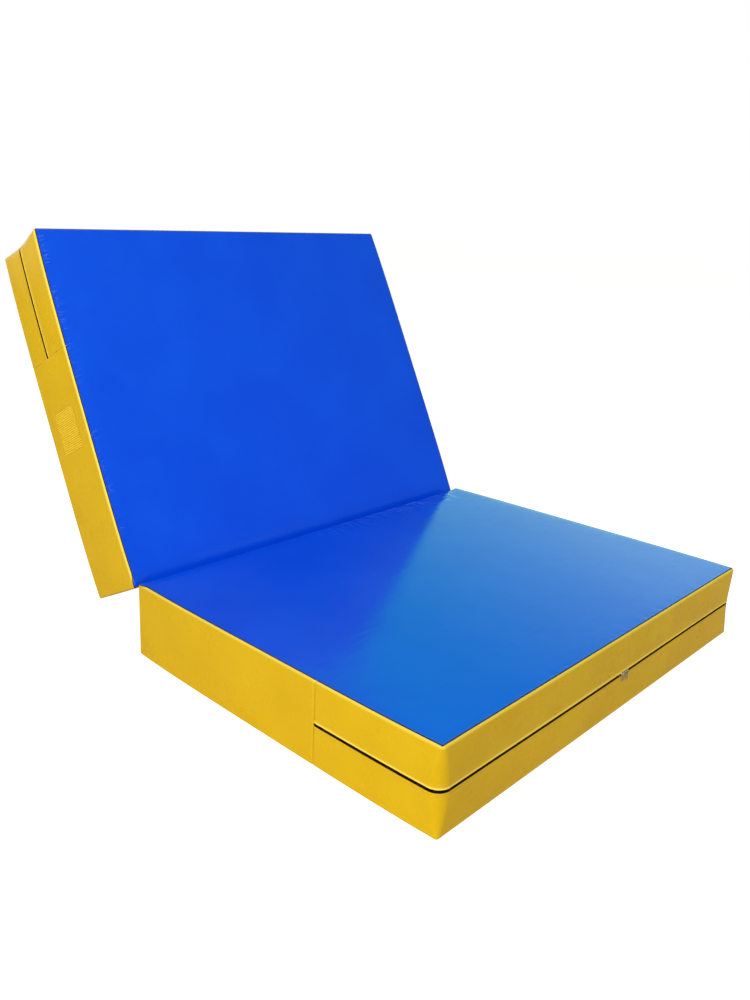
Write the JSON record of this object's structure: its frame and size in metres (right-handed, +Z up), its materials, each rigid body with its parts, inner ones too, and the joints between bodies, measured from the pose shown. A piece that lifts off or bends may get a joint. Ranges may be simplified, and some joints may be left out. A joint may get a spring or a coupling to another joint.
{
  "type": "folding gym mat",
  "caption": "Folding gym mat: foam panels in blue and yellow zipped vinyl covers, joined by a cloth hinge, shown with one panel raised.",
  "frame": {"origin": "middle of the base panel's underside, on the floor", "axes": "+X along the fold, +Y from the base panel's free end to the fold, +Z up"},
  "size_m": [1, 1.2385, 0.8036],
  "materials": {
    "blue_vinyl": "satin coated cloth",
    "yellow_vinyl": "satin coated cloth",
    "yellow_mesh": "open coated mesh",
    "foam": "open-cell polyurethane foam",
    "zip_tape": "woven polyester tape",
    "zip_coil": "nylon coil",
    "zip_metal": "plated die-cast zinc"
  },
  "bodies": {
    "base_panel": {"hinge_strip": "blue_vinyl", "base_core": "foam", "base_top": "blue_vinyl", "base_bottom": "blue_vinyl", "base_rear_wall": "yellow_vinyl", "base_zip_wall_top": "yellow_vinyl", "base_zip_wall_low": "yellow_vinyl", "base_tape_top": "zip_tape", "base_tape_low": "zip_tape", "base_coil_top": "zip_coil", "base_coil_low": "zip_coil", "base_vent": "yellow_mesh"},
    "upper_panel": {"upper_core": "foam", "upper_top": "blue_vinyl", "upper_bottom": "blue_vinyl", "upper_rear_wall": "yellow_vinyl", "upper_zip_wall_top": "yellow_vinyl", "upper_zip_wall_low": "yellow_vinyl", "upper_tape_top": "zip_tape", "upper_tape_low": "zip_tape", "upper_coil_top": "zip_coil", "upper_coil_low": "zip_coil", "upper_vent": "yellow_mesh"},
    "base_slider_l": {"base_slider_l": "zip_metal"},
    "base_pull_l": {"base_pull_l": "zip_metal"},
    "base_slider_r": {"base_slider_r": "zip_metal"},
    "base_pull_r": {"base_pull_r": "zip_metal"},
    "upper_slider_l": {"upper_slider_l": "zip_metal"},
    "upper_pull_l": {"upper_pull_l": "zip_metal"},
    "upper_slider_r": {"upper_slider_r": "zip_metal"},
    "upper_pull_r": {"upper_pull_r": "zip_metal"}
  },
  "joints": [
    {"name": "fold", "type": "hinge", "parent": "base_panel", "child": "upper_panel", "pos_m": [0, 0.395, 0.1512], "axis": [1, 0, 0], "range_deg": [-63.3, 116.7], "deforming": ["hinge_strip"]},
    {"name": "base_slider_l_run", "type": "slide", "parent": "base_panel", "child": "base_slider_l", "axis": [-1, 0, 0], "range_m": [0, 0.501]},
    {"name": "base_pull_l_swing", "type": "hinge", "parent": "base_slider_l", "child": "base_pull_l", "pos_m": [0.02115, -0.3783, 0.075], "axis": [-1, 0, 0], "range_deg": [0, 175]},
    {"name": "base_slider_r_run", "type": "slide", "parent": "base_panel", "child": "base_slider_r", "axis": [1, 0, 0], "range_m": [0, 0.445]},
    {"name": "base_pull_r_swing", "type": "hinge", "parent": "base_slider_r", "child": "base_pull_r", "pos_m": [0.03485, -0.3783, 0.075], "axis": [-1, 0, 0], "range_deg": [0, 175]},
    {"name": "upper_slider_l_run", "type": "slide", "parent": "upper_panel", "child": "upper_slider_l", "axis": [-1, 0, 0], "range_m": [0, 0.445]},
    {"name": "upper_pull_l_swing", "type": "hinge", "parent": "upper_slider_l", "child": "upper_pull_l", "pos_m": [-0.03485, 0.79346, 0.77386], "axis": [1, 0, 0], "range_deg": [0, 175]},
    {"name": "upper_slider_r_run", "type": "slide", "parent": "upper_panel", "child": "upper_slider_r", "axis": [1, 0, 0], "range_m": [0, 0.501]},
    {"name": "upper_pull_r_swing", "type": "hinge", "parent": "upper_slider_r", "child": "upper_pull_r", "pos_m": [-0.02115, 0.79346, 0.77386], "axis": [1, 0, 0], "range_deg": [0, 175]}
  ]
}
